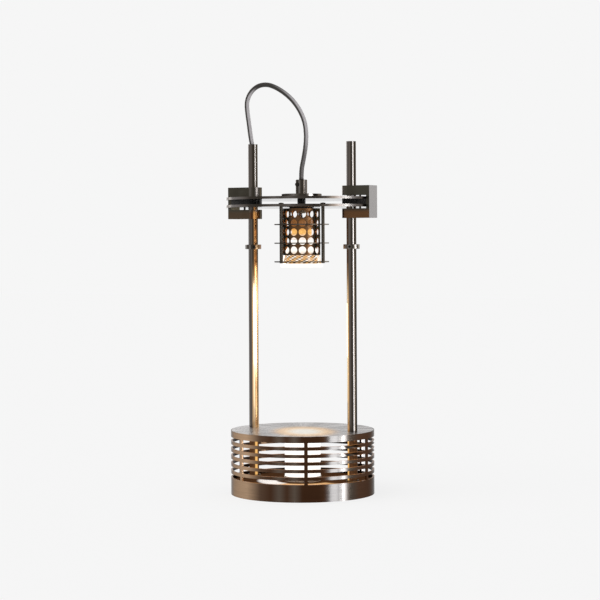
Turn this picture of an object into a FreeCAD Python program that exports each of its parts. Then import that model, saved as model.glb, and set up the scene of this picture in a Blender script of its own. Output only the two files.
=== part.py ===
import FreeCAD, Part
import math
import os

# Candle warmer lamp, millimetres. +Z is up and the origin is on the table, under the lamp's axis.
# The two posts stand on the X axis, and -Y is the front.

Vec = FreeCAD.Vector
up = Vec(0, 0, 1)

# --- fits ---------------------------------------------------------------------------------------
fit_gap = 0.1          # radial room round parts that are screwed or pushed together
slide_gap = 0.08       # radial room between a post and what slides on it
cable_gap = 0.2        # radial room round a cable
seat_gap = 0.3         # room left where glass or ceramic is set loosely
overshoot = 1.0        # how far a cut runs past the face that it leaves through

# --- base drum ----------------------------------------------------------------------------------
base_radius = 85.0
drum_height = 75.3
drum_wall = 2.0
top_band = 7.3         # plain band above the first row of slots
slot_rows = 6
slot_height = 4.8
slot_pitch = 8.6
bridge_count = 6       # upright bars left standing between the slots
bridge_width = 4.2
rebate_width = 1.2     # step inside the rim that carries the top plate
top_plate_thickness = 3.0
ledge_width = 2.0      # ring inside the drum that carries the floor plate
ledge_height = 1.5
floor_thickness = 1.5
chamber_height = 10.5  # wiring space between bottom cover and floor plate
cover_thickness = 1.5
cover_recess = 1.3

foot_radius = 7.0
foot_height = 1.5
foot_count = 4
foot_circle = 68.0
foot_turn = 45.0

standoff_radius = 3.5
standoff_count = 3
standoff_circle = 70.0
standoff_turn = -90.0  # keeps the way in from the cable inlet clear
cover_screw_radius = 1.5
cover_screw_head = 2.8
cover_screw_depth = 6.0
cover_socket_flats = 2.0

# --- cable inlet and wiring ---------------------------------------------------------------------
inlet_bore = 2.75
inlet_neck = 3.8
inlet_flange = 5.2
inlet_flange_thickness = 1.5
inlet_lip = 4.3
inlet_lip_thickness = 2.0

terminal_length = 24.0
terminal_width = 12.0
terminal_height = 8.0
terminal_back = 45.0   # distance of the block's middle behind the axis
terminal_ways = 3
terminal_pitch = 7.5
terminal_bore = 1.5
lead_radius = 1.0
lead_grip = 2.0        # length of a wire's end held in its terminal
lead_spread = 1.5      # the lamp's wires, either side of the axis

# --- lamp in the base ---------------------------------------------------------------------------
diffuser_radius = 21.25
diffuser_wall = 2.0
base_cup_radius = 22.0
base_cup_height = 6.0
base_socket_radius = 12.0
base_socket_height = 15.0
base_socket_depth = 9.0
base_cap_radius = 6.5
base_cap_rise = 1.0    # how far the cap stands out of its socket
base_bulb_radius = 9.0
base_bulb_length = 26.0
wire_hole = 6.0

# --- posts and collars --------------------------------------------------------------------------
post_radius = 5.75
post_wall = 1.0
post_inset = 19.3      # post axis to the drum's side
post_length = 407.1
post_tail = 1.0        # thread standing out under the lower nut
post_nut_flats = 15.0
post_nut_height = 4.0

collar_radius = 9.6
collar_height = 5.4
collar_drop = 30.75    # underside of the clamp blocks to the collars' tops
collar_chamfer = 0.3
collar_screw_radius = 1.5
collar_screw_sink = 0.4
collar_left_turn = 33.0
collar_right_turn = 12.0

# --- head: two discs in a pair of clamp blocks --------------------------------------------------
head_drop = 70.85      # tops of the posts to midway between the two discs
disc_overhang = 24.1   # post axis to the disc's rim
disc_thickness = 3.0
disc_gap = 6.0
disc_post_gap = 0.4

block_width = 21.5
block_height = 37.9
jaw_gap = 1.85         # air between each jaw and the disc beside it
spine_thickness = 4.1
spine_gap = 0.2
clamp_screw_offset = 11.6
clamp_screw_radius = 1.2
clamp_head_radius = 2.3
clamp_head_height = 2.5
clamp_head_sink = 0.7
clamp_screw_floor = 5.0
grub_radius = 2.0
grub_sink = 0.5
hex_depth = 1.2

disc_screw_circle = 16.0
disc_screw_head = 4.0
disc_screw_shank = 2.0
disc_screw_socket = 2.5
disc_screw_count = 3

# --- cable grip and threaded tube ---------------------------------------------------------------
nipple_radius = 4.1
spacer_radius = 4.9
grip_nut_radius = 24.1
grip_nut_height = 4.3
grip_nut_chamfer = 0.4
grip_radius = 6.9
grip_height = 16.85
grip_thread = 5.3      # depth of nipple thread inside the grip
grip_chamfer = 0.5
grip_screw_level = 11.0
grip_screw_radius = 1.3
grip_screw_head = 2.3
grip_screw_cap = 1.9
grip_slot_width = 0.5
grip_slot_depth = 0.5
grip_screw_turn = -104.0

# --- lamp cage ----------------------------------------------------------------------------------
washer_radius = 14.5
washer_thickness = 1.0
cage_radius = 22.2
cage_wall = 1.2
cage_height = 55.3
hole_radius = 4.4
hole_rows = 5
hole_columns = 13
hole_pitch = 10.63
first_hole_row = 6.85
first_hole_turn = -60.0

rod_count = 3
rod_circle = 28.5
rod_radius = 2.0
rod_thread = 1.5
rod_tail = 1.0
rod_nut_flats = 6.0
rod_nut_height = 2.4
fin_radius = 32.5
fin_thickness = 1.3
fin_count = 3
fin_pitch = 22.1
first_fin_drop = 20.0  # underside of the lower disc to the middle of the first fin
low_fin_bore = 24.3

# --- lamp holder and lamp -----------------------------------------------------------------------
bracket_width = 9.0
bracket_thickness = 1.0
bracket_reach = 9.0    # how far its legs go down beside the holder
bracket_turn = 30.0
bracket_screw_radius = 1.3
bracket_screw_head = 2.2
bracket_screw_cap = 1.4
bracket_screw_depth = 3.5
nipple_nut_flats = 12.0
nipple_nut_height = 3.0
nipple_tail = 0.6
lead_space = 9.0       # least room for the wires between bracket web and holder
holder_lead_radius = 0.8
lead_start = 1.4       # wires' distance from the axis where they leave the cable
lead_end = 9.0         # and where they enter the holder
lead_drop = 2.4        # length that they run straight at each end
holder_radius = 14.0
holder_height = 12.0
holder_floor = 3.0
holder_cavity = 3.5
pin_circle = 5.0
pin_radius = 1.5
pin_head_radius = 2.4
pin_head_height = 2.0
pin_room = 0.3
twist_angle = 18.0

lamp_length = 46.0
lamp_rim_radius = 25.0
lamp_rim_height = 3.5
lamp_rim_step = 1.0
lamp_wall = 1.6
lamp_shoulder = 23.4
lamp_waist = 20.6
lamp_waist_level = 14.2
lamp_neck = 12.0
lamp_neck_level = 32.0
lens_thickness = 1.5
lamp_base_chamfer = 1.5

# --- cable loop ---------------------------------------------------------------------------------
cable_radius = 2.8
cable_route = [        # X and Z of the loop's points, from inside the left post to the grip
    (-65.7, 397.0),
    (-65.7, 410.0),
    (-68.6, 424.5),
    (-70.7, 440.0),
    (-73.2, 455.5),
    (-73.8, 468.0),
    (-68.4, 478.9),
    (-58.2, 486.0),
    (-45.8, 487.1),
    (-34.8, 483.4),
    (-23.6, 477.0),
    (-11.8, 467.6),
    (-1.7, 454.8),
    (5.0, 440.5),
    (7.0, 425.0),
    (5.7, 409.5),
    (3.0, 396.0),
    (0.0, 383.8),
    (0.0, 371.9),
]

# --- levels and places worked out from the sizes above ------------------------------------------
drum_bottom = foot_height - cover_recess
drum_top = drum_bottom + drum_height
drum_inside = base_radius - drum_wall
cover_top = foot_height + cover_thickness
floor_bottom = cover_top + chamber_height
floor_top = floor_bottom + floor_thickness
top_plate_bottom = drum_top - top_plate_thickness
cup_top = floor_top + base_cup_height
inlet_level = (cover_top + floor_bottom - ledge_height) / 2
lead_level = cover_top + terminal_height / 2

post_x = base_radius - post_inset
post_bottom = floor_bottom - post_nut_height - post_tail
post_top = post_bottom + post_length
post_bore = post_radius - post_wall

disc_radius = post_x + disc_overhang
head_level = post_top - head_drop
lower_disc_bottom = head_level - disc_gap / 2 - disc_thickness
lower_disc_top = lower_disc_bottom + disc_thickness
upper_disc_bottom = lower_disc_top + disc_gap
upper_disc_top = upper_disc_bottom + disc_thickness
block_bottom = head_level - block_height / 2
block_top = block_bottom + block_height
collar_level = block_bottom - collar_drop - collar_height / 2
slot_bottom = lower_disc_bottom - jaw_gap
slot_top = upper_disc_top + jaw_gap
spine_inside = disc_radius + spine_gap
block_outside = spine_inside + spine_thickness
clamp_screw_x = post_x + clamp_screw_offset
clamp_head_seat = block_top - clamp_head_sink - clamp_head_height
grub_level = (slot_top + block_top) / 2

grip_bottom = upper_disc_top + grip_nut_height
grip_top = grip_bottom + grip_height
nipple_bore = cable_radius + seat_gap
cage_top = lower_disc_bottom - washer_thickness
cage_bottom = cage_top - cage_height
bracket_top = cage_top - cage_wall
bracket_bottom = bracket_top - bracket_thickness
nipple_bottom = bracket_bottom - nipple_nut_height - nipple_tail
nipple_top = grip_bottom + grip_thread
# The lamp hangs as high as its wires and the cage's lower end, at its waist, allow.
lamp_front = min(
    bracket_bottom - lead_space - holder_height - seat_gap - lamp_length, cage_bottom - lamp_waist_level)
lamp_top = lamp_front + lamp_length
holder_bottom = lamp_top + seat_gap
holder_top = holder_bottom + holder_height
bracket_screw_level = holder_top - bracket_reach / 2
lamp_rim_top = lamp_front + lamp_rim_height
lamp_shoulder_level = lamp_rim_top + lamp_rim_step
lamp_neck_top = lamp_front + lamp_neck_level
low_fin_bottom = lower_disc_bottom - first_fin_drop - (fin_count - 1) * fin_pitch - fin_thickness / 2


# --- shapes used more than once -----------------------------------------------------------------
def cylinder(radius, bottom, top, x=0.0, y=0.0):
    return Part.makeCylinder(radius, top - bottom, Vec(x, y, bottom), up)


def ring(outer, inner, bottom, top, x=0.0, y=0.0):
    return cylinder(outer, bottom, top, x, y).cut(cylinder(inner, bottom, top, x, y))


def polar(radius, turn, level=0.0):
    """Point at a distance from the axis, in a direction turned from +X by so many degrees."""
    angle = math.radians(turn)
    return Vec(radius * math.cos(angle), radius * math.sin(angle), level)


def radial_cylinder(radius, start, end, turn, level, x=0.0):
    """Round bar from one distance to another, along a direction turned from +X."""
    return Part.makeCylinder(radius, end - start, Vec(x, 0, level) + polar(start, turn), polar(1, turn))


def hexagon(flats, bottom, top, x=0.0, y=0.0):
    corner = flats / math.sqrt(3)
    points = [Vec(x, y, bottom) + polar(corner, 60 * side) for side in range(7)]
    return Part.Face(Part.makePolygon(points)).extrude(Vec(0, 0, top - bottom))


def nut(flats, bore, bottom, top, x=0.0, y=0.0):
    return hexagon(flats, bottom, top, x, y).cut(cylinder(bore, bottom, top, x, y))


def hex_socket(flats, depth, mouth, way):
    """Six-sided recess whose mouth is at a point and whose floor lies the other way."""
    socket = hexagon(flats, -depth, 0)
    socket.Placement = FreeCAD.Placement(mouth, FreeCAD.Rotation(up, way))
    return socket


def on_circle(radius, count, start=0.0):
    """Places evenly round the axis."""
    places = [polar(radius, start + 360 * index / count) for index in range(count)]
    return [(place.x, place.y) for place in places]


def fused(shapes):
    return shapes[0].fuse(shapes[1:]).removeSplitter()


def revolved(outline):
    """Closed outline of edges in the XZ plane, turned about the Z axis."""
    face = Part.Face(Part.Wire(outline))
    return face.revolve(Vec(0, 0, 0), up, 360)


def polyline(points):
    edges = []
    for first, second in zip(points, points[1:]):
        edges.append(Part.LineSegment(first, second).toShape())
    return edges


def rounded_path(points):
    """Straight runs joined by tangent arcs, each as large as its two runs allow."""
    edges = []
    radii = []
    start = points[0]
    for before, corner, after in zip(points, points[1:], points[2:]):
        arrive = (corner - before).normalize()
        leave = (after - corner).normalize()
        half_turn = arrive.getAngle(leave) / 2
        reach = 0.45 * min(corner.distanceToPoint(before), corner.distanceToPoint(after))
        radius = reach / math.tan(half_turn)
        inward = (leave - arrive).normalize()
        middle = corner + inward * (radius / math.cos(half_turn) - radius)
        edges.append(Part.LineSegment(start, corner - arrive * reach).toShape())
        edges.append(Part.Arc(corner - arrive * reach, middle, corner + leave * reach).toShape())
        start = corner + leave * reach
        radii.append(radius)
    edges.append(Part.LineSegment(start, points[-1]).toShape())
    return Part.Wire(edges), radii


def tube_along(points, radius):
    """Solid round bar along a rounded path."""
    path, radii = rounded_path(points)
    first_way = points[1] - points[0]
    section = Part.Wire(Part.makeCircle(radius, points[0], first_way))
    solid = path.makePipeShell([section], True, False)
    return solid, path, radii


# --- base ---------------------------------------------------------------------------------------
def slot_cutters():
    """One ring per row, as high as a slot, with the upright bars taken out of it."""
    bars = []
    for x, y in on_circle(base_radius, bridge_count):
        bar = Part.makeBox(base_radius, bridge_width, drum_height, Vec(0, -bridge_width / 2, drum_bottom))
        bar.rotate(Vec(0, 0, 0), up, math.degrees(math.atan2(y, x)))
        bars.append(bar)
    cutters = []
    for row in range(slot_rows):
        slot_high = drum_top - top_band - row * slot_pitch
        slot = ring(base_radius + overshoot, drum_inside - overshoot, slot_high - slot_height, slot_high)
        cutters.append(slot.cut(bars))
    return cutters


def base_drum():
    drum = ring(base_radius, drum_inside, drum_bottom, drum_top)
    rebate = cylinder(drum_inside + rebate_width, top_plate_bottom, drum_top)
    ledge = ring(drum_inside, drum_inside - ledge_width, floor_bottom - ledge_height, floor_bottom)
    inlet = radial_cylinder(
        inlet_neck + fit_gap, drum_inside - overshoot, base_radius + overshoot, 90, inlet_level)
    return fused([drum, ledge]).cut([rebate, inlet] + slot_cutters())


def post_holes(radius, bottom, top):
    return [cylinder(radius, bottom, top, side * post_x) for side in (-1, 1)]


def top_plate():
    plate = cylinder(drum_inside + rebate_width - fit_gap, top_plate_bottom, drum_top)
    return plate.cut(post_holes(post_radius + fit_gap, top_plate_bottom, drum_top))


def standoff_places():
    return on_circle(standoff_circle, standoff_count, standoff_turn)


def floor_plate():
    plate = cylinder(drum_inside - fit_gap, floor_bottom, floor_top)
    holes = post_holes(post_radius + fit_gap, floor_bottom, floor_top)
    holes.append(cylinder(wire_hole, floor_bottom, floor_top))
    return plate.cut(holes)


def cover_screw(x, y, room):
    """Countersunk screw flush with the cover, or its hole where room is added."""
    head = Part.makeCone(
        cover_screw_head + room, cover_screw_radius + room, cover_thickness, Vec(x, y, foot_height), up)
    shank = cylinder(cover_screw_radius + room, foot_height, cover_top + cover_screw_depth + room, x, y)
    return fused([head, shank])


def bottom_cover():
    plate = cylinder(drum_inside - fit_gap, foot_height, cover_top)
    return plate.cut([cover_screw(x, y, fit_gap) for x, y in standoff_places()])


def cover_screws():
    screws = []
    for x, y in standoff_places():
        socket = hex_socket(cover_socket_flats, hex_depth, Vec(x, y, foot_height), -up)
        screws.append(cover_screw(x, y, 0).cut(socket))
    return Part.makeCompound(screws)


def cover_standoffs():
    pillars = []
    for x, y in standoff_places():
        pillar = cylinder(standoff_radius, cover_top, floor_bottom, x, y)
        pillars.append(pillar.cut(cover_screw(x, y, fit_gap)))
    return Part.makeCompound(pillars)


def rubber_feet():
    feet = []
    for x, y in on_circle(foot_circle, foot_count, foot_turn):
        foot = cylinder(foot_radius, 0, foot_height, x, y)
        lower_edge = [edge for edge in foot.Edges if edge.BoundBox.ZMax < foot_height / 4]
        feet.append(foot.makeChamfer(foot_height / 4, lower_edge))
    return Part.makeCompound(feet)


def inlet_bushing():
    """Snap-in bushing for the supply cable, with a flange outside and a lip inside the drum."""
    lip_end = drum_inside - seat_gap
    flange_end = base_radius + inlet_flange_thickness
    flange = radial_cylinder(inlet_flange, base_radius, flange_end, 90, inlet_level)
    rim = [edge for edge in flange.Edges if edge.BoundBox.YMin > base_radius + seat_gap]
    flange = flange.makeFillet(inlet_flange_thickness / 2, rim)
    lip_start = lip_end - inlet_lip_thickness
    neck = radial_cylinder(inlet_neck, lip_start, base_radius, 90, inlet_level)
    lip = radial_cylinder(inlet_lip, lip_start, lip_end, 90, inlet_level)
    bore = radial_cylinder(inlet_bore, lip_start - overshoot, flange_end + overshoot, 90, inlet_level)
    return fused([flange, neck, lip]).cut(bore)


def terminal_block():
    front = terminal_back - terminal_width / 2
    block = Part.makeBox(
        terminal_length, terminal_width, terminal_height, Vec(-terminal_length / 2, front, cover_top))
    wells = []
    for way in range(terminal_ways):
        x = (way - (terminal_ways - 1) / 2) * terminal_pitch
        mouth = Vec(x, front, lead_level)
        wells.append(Part.makeCylinder(terminal_bore, terminal_width, mouth, Vec(0, 1, 0)))
        for side in (-1, 1):
            y = terminal_back + side * terminal_width / 4
            wells.append(cylinder(terminal_bore, lead_level, cover_top + terminal_height, x, y))
    return block.cut(wells)


def base_leads():
    """Single wires from the terminal block to the base lamp and to the left post."""
    front = terminal_back - terminal_width / 2
    leads = []
    for way, x in ((0, -lead_spread), (1, lead_spread)):
        start = Vec(way * terminal_pitch, front + lead_grip, lead_level)
        end = Vec(x, 0, floor_top + lead_grip)
        lead, path, radii = tube_along([start, Vec(x, 0, lead_level), end], lead_radius)
        leads.append(lead)
    start = Vec(-terminal_pitch, front + lead_grip, lead_level)
    turn = Vec(-terminal_pitch, front / 2, lead_level)
    foot = Vec(-post_x, 0, lead_level)
    lead, path, radii = tube_along([start, turn, foot, Vec(-post_x, 0, post_bottom)], lead_radius)
    leads.append(lead)
    return Part.makeCompound(leads)


def base_lamp_holder():
    cup = cylinder(base_cup_radius, floor_top, cup_top)
    socket = cylinder(base_socket_radius, cup_top, cup_top + base_socket_height)
    socket_top = cup_top + base_socket_height
    mouth = cylinder(base_cap_radius + seat_gap, socket_top - base_socket_depth, socket_top)
    wires = cylinder(wire_hole, floor_top, cup_top)
    return fused([cup, socket]).cut([mouth, wires])


def base_bulb():
    """Capsule lamp: a cap in the socket and a round-ended glass above it."""
    seat = cup_top + base_socket_height
    glass_top = seat + base_bulb_length
    cap = cylinder(base_cap_radius, seat - base_socket_depth, seat + base_cap_rise)
    glass = cylinder(base_bulb_radius, seat + base_cap_rise, glass_top - base_bulb_radius)
    dome = Part.makeSphere(base_bulb_radius, Vec(0, 0, glass_top - base_bulb_radius))
    return fused([cap, glass, dome])


def base_diffuser():
    return ring(diffuser_radius, diffuser_radius - diffuser_wall, cup_top, top_plate_bottom - seat_gap)


# --- posts, collars and their screws ------------------------------------------------------------
def post(side):
    return ring(post_radius, post_bore, post_bottom, post_top, side * post_x)


def post_nuts():
    nuts = []
    for side in (-1, 1):
        for bottom in (floor_bottom - post_nut_height, floor_top):
            top = bottom + post_nut_height
            nuts.append(nut(post_nut_flats, post_radius + fit_gap, bottom, top, side * post_x))
    return Part.makeCompound(nuts)


def post_cable():
    return cylinder(cable_radius, post_bottom + post_tail, cable_route[0][1], -post_x)


def collar(side, turn):
    bottom = collar_level - collar_height / 2
    body = ring(collar_radius, post_radius + slide_gap, bottom, bottom + collar_height, side * post_x)
    edges = [edge for edge in body.Edges if abs(edge.BoundBox.YMax - collar_radius) < fit_gap]
    body = body.makeChamfer(collar_chamfer, [edge for edge in edges if edge.BoundBox.ZLength < fit_gap])
    hole = radial_cylinder(
        collar_screw_radius + fit_gap, 0, collar_radius + overshoot, turn - 90, collar_level, side * post_x)
    return body.cut(hole)


def set_screw(radius, tip, end, turn, level, x=0.0):
    """Headless screw, pointing at a post, with a hexagon socket in its outer end."""
    screw = radial_cylinder(radius, tip, end, turn, level, x)
    mouth = Vec(x, 0, level) + polar(end, turn)
    return screw.cut(hex_socket(radius, hex_depth, mouth, polar(1, turn)))


def collar_screw(side, turn):
    tip = post_radius + seat_gap
    end = collar_radius - collar_screw_sink
    return set_screw(collar_screw_radius, tip, end, turn - 90, collar_level, side * post_x)


# --- head ---------------------------------------------------------------------------------------
def clamp_outline(inner_radius, outer_x, bottom, top):
    """Block seen from above: square outside and round towards the axis, about the post."""
    width = 2 * inner_radius
    body = Part.makeBox(outer_x - post_x, width, top - bottom, Vec(post_x, -inner_radius, bottom))
    return fused([body, cylinder(inner_radius, bottom, top, post_x)])


def clamp_block(side):
    block = clamp_outline(block_width / 2, block_outside, block_bottom, block_top)
    slot_width = block_width + 2 * overshoot
    slot = Part.makeBox(
        spine_inside, slot_width, slot_top - slot_bottom, Vec(0, -slot_width / 2, slot_bottom))
    post_bore_cut = cylinder(post_radius + slide_gap, block_bottom, block_top, post_x)
    shank_hole = cylinder(
        clamp_screw_radius + fit_gap, block_bottom + clamp_screw_floor - seat_gap, block_top, clamp_screw_x)
    head_hole = cylinder(clamp_head_radius + fit_gap, clamp_head_seat, block_top, clamp_screw_x)
    grub_hole = radial_cylinder(grub_radius + fit_gap, 0, block_width, 90, grub_level, post_x)
    block = block.cut([slot, post_bore_cut, shank_hole, head_hole, grub_hole])
    return block if side > 0 else block.mirror(Vec(0, 0, 0), Vec(1, 0, 0))


def spacer_pad(side):
    """Black pad that fills the block between the two discs."""
    pad = clamp_outline(block_width / 2, disc_radius, lower_disc_top, upper_disc_bottom)
    holes = [cylinder(post_radius + disc_post_gap, lower_disc_top, upper_disc_bottom, post_x)]
    holes.append(cylinder(clamp_screw_radius + fit_gap, lower_disc_top, upper_disc_bottom, clamp_screw_x))
    pad = pad.cut(holes)
    return pad if side > 0 else pad.mirror(Vec(0, 0, 0), Vec(1, 0, 0))


def clamp_screws():
    screws = []
    for side in (-1, 1):
        x = side * clamp_screw_x
        head_top = clamp_head_seat + clamp_head_height
        head = cylinder(clamp_head_radius, clamp_head_seat, head_top, x)
        shank = cylinder(clamp_screw_radius, block_bottom + clamp_screw_floor, clamp_head_seat, x)
        socket = hexagon(clamp_head_radius, head_top - hex_depth, head_top, x)
        screws.append(fused([head, shank]).cut(socket))
    return Part.makeCompound(screws)


def block_grub_screws():
    tip = post_radius + seat_gap
    end = block_width / 2 - grub_sink
    screws = [set_screw(grub_radius, tip, end, 90, grub_level, side * post_x) for side in (-1, 1)]
    return Part.makeCompound(screws)


def disc(bottom):
    top = bottom + disc_thickness
    holes = post_holes(post_radius + disc_post_gap, bottom, top)
    holes.append(cylinder(nipple_radius + fit_gap, bottom, top))
    for side in (-1, 1):
        holes.append(cylinder(clamp_screw_radius + fit_gap, bottom, top, side * clamp_screw_x))
    return cylinder(disc_radius, bottom, top).cut(holes)


def upper_disc():
    holes = []
    for x, y in on_circle(disc_screw_circle, disc_screw_count):
        holes.append(cylinder(disc_screw_shank + fit_gap, upper_disc_bottom, upper_disc_top, x, y))
    return disc(upper_disc_bottom).cut(holes)


def lower_disc():
    holes = []
    for x, y in on_circle(rod_circle, rod_count):
        holes.append(cylinder(rod_thread + fit_gap, lower_disc_bottom, lower_disc_top, x, y))
    return disc(lower_disc_bottom).cut(holes)


def countersink(x, y):
    """Cone of a flush screw head, narrow end down, with its top level with the grip nut's."""
    depth = disc_screw_head - disc_screw_shank
    return Part.makeCone(disc_screw_shank, disc_screw_head, depth, Vec(x, y, grip_bottom - depth), up)


def disc_screws():
    """Flush screws through the wide grip nut, tapped into the upper disc."""
    screws = []
    for x, y in on_circle(disc_screw_circle, disc_screw_count):
        shank = cylinder(disc_screw_shank, upper_disc_bottom, grip_bottom - hex_depth, x, y)
        socket = hexagon(disc_screw_socket, grip_bottom - hex_depth, grip_bottom, x, y)
        screws.append(fused([countersink(x, y), shank]).cut(socket))
    return Part.makeCompound(screws)


def centre_spacer():
    return ring(spacer_radius, nipple_radius + fit_gap, lower_disc_top, upper_disc_bottom)


def threaded_nipple():
    return ring(nipple_radius, nipple_bore, nipple_bottom, nipple_top)


def grip_nut():
    """Wide flat nut on the nipple, held by the disc screws."""
    body = cylinder(grip_nut_radius, upper_disc_top, grip_bottom)
    top_edge = [edge for edge in body.Edges if edge.BoundBox.ZMin > grip_bottom - fit_gap]
    body = body.makeChamfer(grip_nut_chamfer, top_edge)
    holes = [cylinder(nipple_radius + fit_gap, upper_disc_top, grip_bottom)]
    for x, y in on_circle(disc_screw_circle, disc_screw_count):
        holes.append(cylinder(disc_screw_shank + fit_gap, upper_disc_top, grip_bottom, x, y))
        holes.append(countersink(x, y))
    return body.cut(holes)


def cord_grip():
    """Barrel on the nipple that holds the cable with a screw in its side."""
    barrel = cylinder(grip_radius, grip_bottom, grip_top)
    top_edge = [edge for edge in barrel.Edges if edge.BoundBox.ZMin > grip_top - fit_gap]
    barrel = barrel.makeChamfer(grip_chamfer, top_edge)
    thread = cylinder(nipple_radius + fit_gap, grip_bottom, nipple_top + seat_gap)
    bore = cylinder(cable_radius + cable_gap, grip_bottom, grip_top)
    side_hole = radial_cylinder(
        grip_screw_radius + fit_gap, 0, grip_radius + overshoot, grip_screw_turn,
        grip_bottom + grip_screw_level)
    return barrel.cut([thread, bore, side_hole])


def grip_screw():
    level = grip_bottom + grip_screw_level
    tip = cable_radius + cable_gap
    cap_end = grip_radius + grip_screw_cap
    shank = radial_cylinder(grip_screw_radius, tip, grip_radius, grip_screw_turn, level)
    cap = radial_cylinder(grip_screw_head, grip_radius, cap_end, grip_screw_turn, level)
    slot = Part.makeBox(
        2 * cap_end, grip_slot_width, 2 * grip_slot_depth,
        Vec(-cap_end, -grip_slot_width / 2, -grip_slot_depth))
    slot.Placement = FreeCAD.Placement(
        polar(cap_end, grip_screw_turn, level), FreeCAD.Rotation(up, polar(1, grip_screw_turn)))
    return fused([shank, cap]).cut(slot)


def head_cable():
    return cylinder(cable_radius, nipple_bottom, grip_top)


# --- cage ---------------------------------------------------------------------------------------
def cage_washer():
    return ring(washer_radius, nipple_radius + fit_gap, cage_top, lower_disc_bottom)


def cage_tube():
    """Can with a closed top and five rows of round holes."""
    can = cylinder(cage_radius, cage_bottom, cage_top)
    inside = cylinder(cage_radius - cage_wall, cage_bottom, bracket_top)
    nipple_hole = cylinder(nipple_radius + fit_gap, bracket_top, cage_top)
    holes = []
    for row in range(hole_rows):
        level = cage_top - first_hole_row - row * hole_pitch
        for column in range(hole_columns):
            turn = first_hole_turn + 360 * column / hole_columns
            holes.append(radial_cylinder(
                hole_radius, cage_radius - 2 * cage_wall, cage_radius + cage_wall, turn, level))
    return can.cut([inside, nipple_hole]).cut(holes)


def cage_rods():
    rods = []
    for x, y in on_circle(rod_circle, rod_count):
        rod = cylinder(rod_radius, low_fin_bottom - rod_tail, lower_disc_bottom, x, y)
        thread_top = lower_disc_top + rod_nut_height + seat_gap
        rods.append(fused([rod, cylinder(rod_thread, lower_disc_bottom, thread_top, x, y)]))
    return Part.makeCompound(rods)


def rod_nuts():
    nuts = []
    top = lower_disc_top + rod_nut_height
    for x, y in on_circle(rod_circle, rod_count):
        nuts.append(nut(rod_nut_flats, rod_thread + fit_gap, lower_disc_top, top, x, y))
    return Part.makeCompound(nuts)


def fin(index):
    """Flat ring on the rods. The lowest one goes round the lamp and has a wider bore."""
    bottom = lower_disc_bottom - first_fin_drop - index * fin_pitch - fin_thickness / 2
    top = bottom + fin_thickness
    bore = low_fin_bore if index == fin_count - 1 else cage_radius + cable_gap
    plate = ring(fin_radius, bore, bottom, top)
    return plate.cut([cylinder(rod_radius + fit_gap / 2, bottom, top, x, y)
                      for x, y in on_circle(rod_circle, rod_count)])


# --- lamp holder --------------------------------------------------------------------------------
def holder_bracket():
    """Strap over the holder, hung from the nipple, with a leg down each side."""
    inside = holder_radius + fit_gap
    outside = inside + bracket_thickness
    bottom = holder_top - bracket_reach
    half = bracket_width / 2
    strap = Part.makeBox(2 * outside, bracket_width, bracket_top - bottom, Vec(-outside, -half, bottom))
    space = Part.makeBox(2 * inside, bracket_width, bracket_bottom - bottom, Vec(-inside, -half, bottom))
    strap = strap.cut([space, cylinder(nipple_radius + fit_gap, bracket_bottom, bracket_top)])
    for side in (0, 180):
        hole = radial_cylinder(bracket_screw_radius + fit_gap, 0, outside, side, bracket_screw_level)
        strap = strap.cut(hole)
    strap.rotate(Vec(0, 0, 0), up, bracket_turn)
    return strap


def bracket_screws():
    outside = holder_radius + fit_gap + bracket_thickness
    screws = []
    for side in (bracket_turn, bracket_turn + 180):
        shank = radial_cylinder(
            bracket_screw_radius, holder_radius - bracket_screw_depth, outside, side, bracket_screw_level)
        head = radial_cylinder(
            bracket_screw_head, outside, outside + bracket_screw_cap, side, bracket_screw_level)
        screws.append(fused([shank, head]))
    return Part.makeCompound(screws)


def nipple_nut():
    return nut(nipple_nut_flats, nipple_radius + fit_gap, bracket_bottom - nipple_nut_height, bracket_bottom)


def arc_slot(half_width, bottom, top):
    """Curved slot with round ends on the pins' circle, from the locked place to the way out."""
    inner = pin_circle - half_width
    outer = pin_circle + half_width
    locked_tip = Vec(pin_circle, -half_width, bottom)
    free_tip = polar(pin_circle, twist_angle, bottom) + polar(half_width, twist_angle + 90)
    half_turn = twist_angle / 2
    corners = [
        polar(outer, 0, bottom), polar(outer, half_turn, bottom), polar(outer, twist_angle, bottom),
        free_tip, polar(inner, twist_angle, bottom), polar(inner, half_turn, bottom),
        polar(inner, 0, bottom), locked_tip, polar(outer, 0, bottom)]
    arcs = [Part.Arc(*corners[first:first + 3]).toShape() for first in (0, 2, 4, 6)]
    return Part.Face(Part.Wire(arcs)).extrude(Vec(0, 0, top - bottom))


def lamp_holder():
    """Ceramic holder. The lamp's two headed pins enter, then turn behind its floor."""
    body = cylinder(holder_radius, holder_bottom, holder_top)
    floor_level = holder_bottom + holder_floor
    way_out = polar(pin_circle, twist_angle)
    cuts = [
        arc_slot(pin_radius + pin_room, holder_bottom, floor_level),
        arc_slot(pin_head_radius + pin_room, floor_level, floor_level + holder_cavity),
        cylinder(pin_head_radius + pin_room, holder_bottom, floor_level, way_out.x, way_out.y),
    ]
    screw_start = holder_radius - bracket_screw_depth - seat_gap
    screw_end = holder_radius + overshoot
    hole = radial_cylinder(
        bracket_screw_radius + fit_gap, screw_start, screw_end, bracket_turn, bracket_screw_level)
    for cut in cuts + [hole]:
        opposite = cut.copy()
        opposite.rotate(Vec(0, 0, 0), up, 180)
        body = body.cut([cut, opposite])
    return body


def holder_leads():
    """Two wires from the cable's end to the top of the holder."""
    leads = []
    for turn in (bracket_turn + 90, bracket_turn - 90):
        points = [
            polar(lead_start, turn, nipple_bottom),
            polar(lead_start, turn, nipple_bottom - lead_drop),
            polar(lead_end, turn, holder_top + lead_drop),
            polar(lead_end, turn, holder_top),
        ]
        lead, path, radii = tube_along(points, holder_lead_radius)
        leads.append(lead)
    return Part.makeCompound(leads)


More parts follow.
